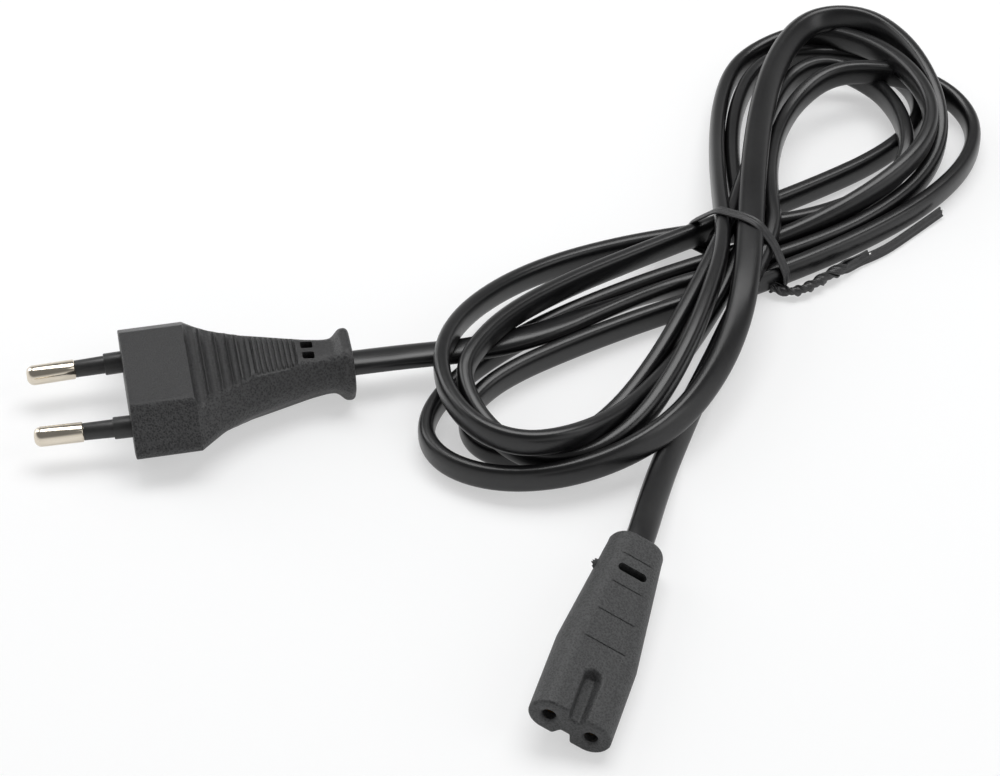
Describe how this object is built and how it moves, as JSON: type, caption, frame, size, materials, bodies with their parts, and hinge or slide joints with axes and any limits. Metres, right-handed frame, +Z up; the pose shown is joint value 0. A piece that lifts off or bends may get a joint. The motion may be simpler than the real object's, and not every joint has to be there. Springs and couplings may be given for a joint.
{
  "type": "figure eight power connector",
  "caption": "Mains lead: a two-hole figure-eight connector, flat cord in a tied hank and a slim two-pin plug, for small double-insulated appliances.",
  "frame": {"origin": "on the surface that the lead lies on, under the middle of the connector", "axes": "+Y along the connector from its nose to the cord, +X to the right seen from the nose with +Z up, +Z up from the surface"},
  "size_m": [0.1687, 0.2226, 0.0142],
  "materials": {
    "connector_pvc": "fine matte spark texture",
    "plug_pvc": "satin top, fine matte spark texture on the facets",
    "cord_pvc": "smooth, soft gloss",
    "holder_plastic": "plain",
    "sleeve_plastic": "smooth satin",
    "pin_nickel": "nickel plated",
    "contact_brass": "stamped",
    "copper": "bare copper",
    "core_blue": "plain",
    "core_brown": "plain",
    "tie_plastic": "ribbed",
    "tie_steel": "thin wire"
  },
  "bodies": {
    "root": {"connector_body": "connector_pvc", "connector_insert": "holder_plastic", "contact_socket_left": "contact_brass", "contact_socket_right": "contact_brass", "connector_core_left": "core_blue", "connector_core_right": "core_brown", "connector_strands_left": "copper", "connector_strands_right": "copper", "cord_lead_connector": "cord_pvc", "cord_hank": "cord_pvc", "cord_lead_plug": "cord_pvc", "plug_body": "plug_pvc", "plug_bridge": "holder_plastic", "pin_left": "pin_nickel", "pin_right": "pin_nickel", "pin_sleeve_left": "sleeve_plastic", "pin_sleeve_right": "sleeve_plastic", "plug_core_left": "core_blue", "plug_core_right": "core_brown", "plug_strands_left": "copper", "plug_strands_right": "copper", "tie_wire": "tie_steel", "tie_coating": "tie_plastic"}
  },
  "joints": []
}
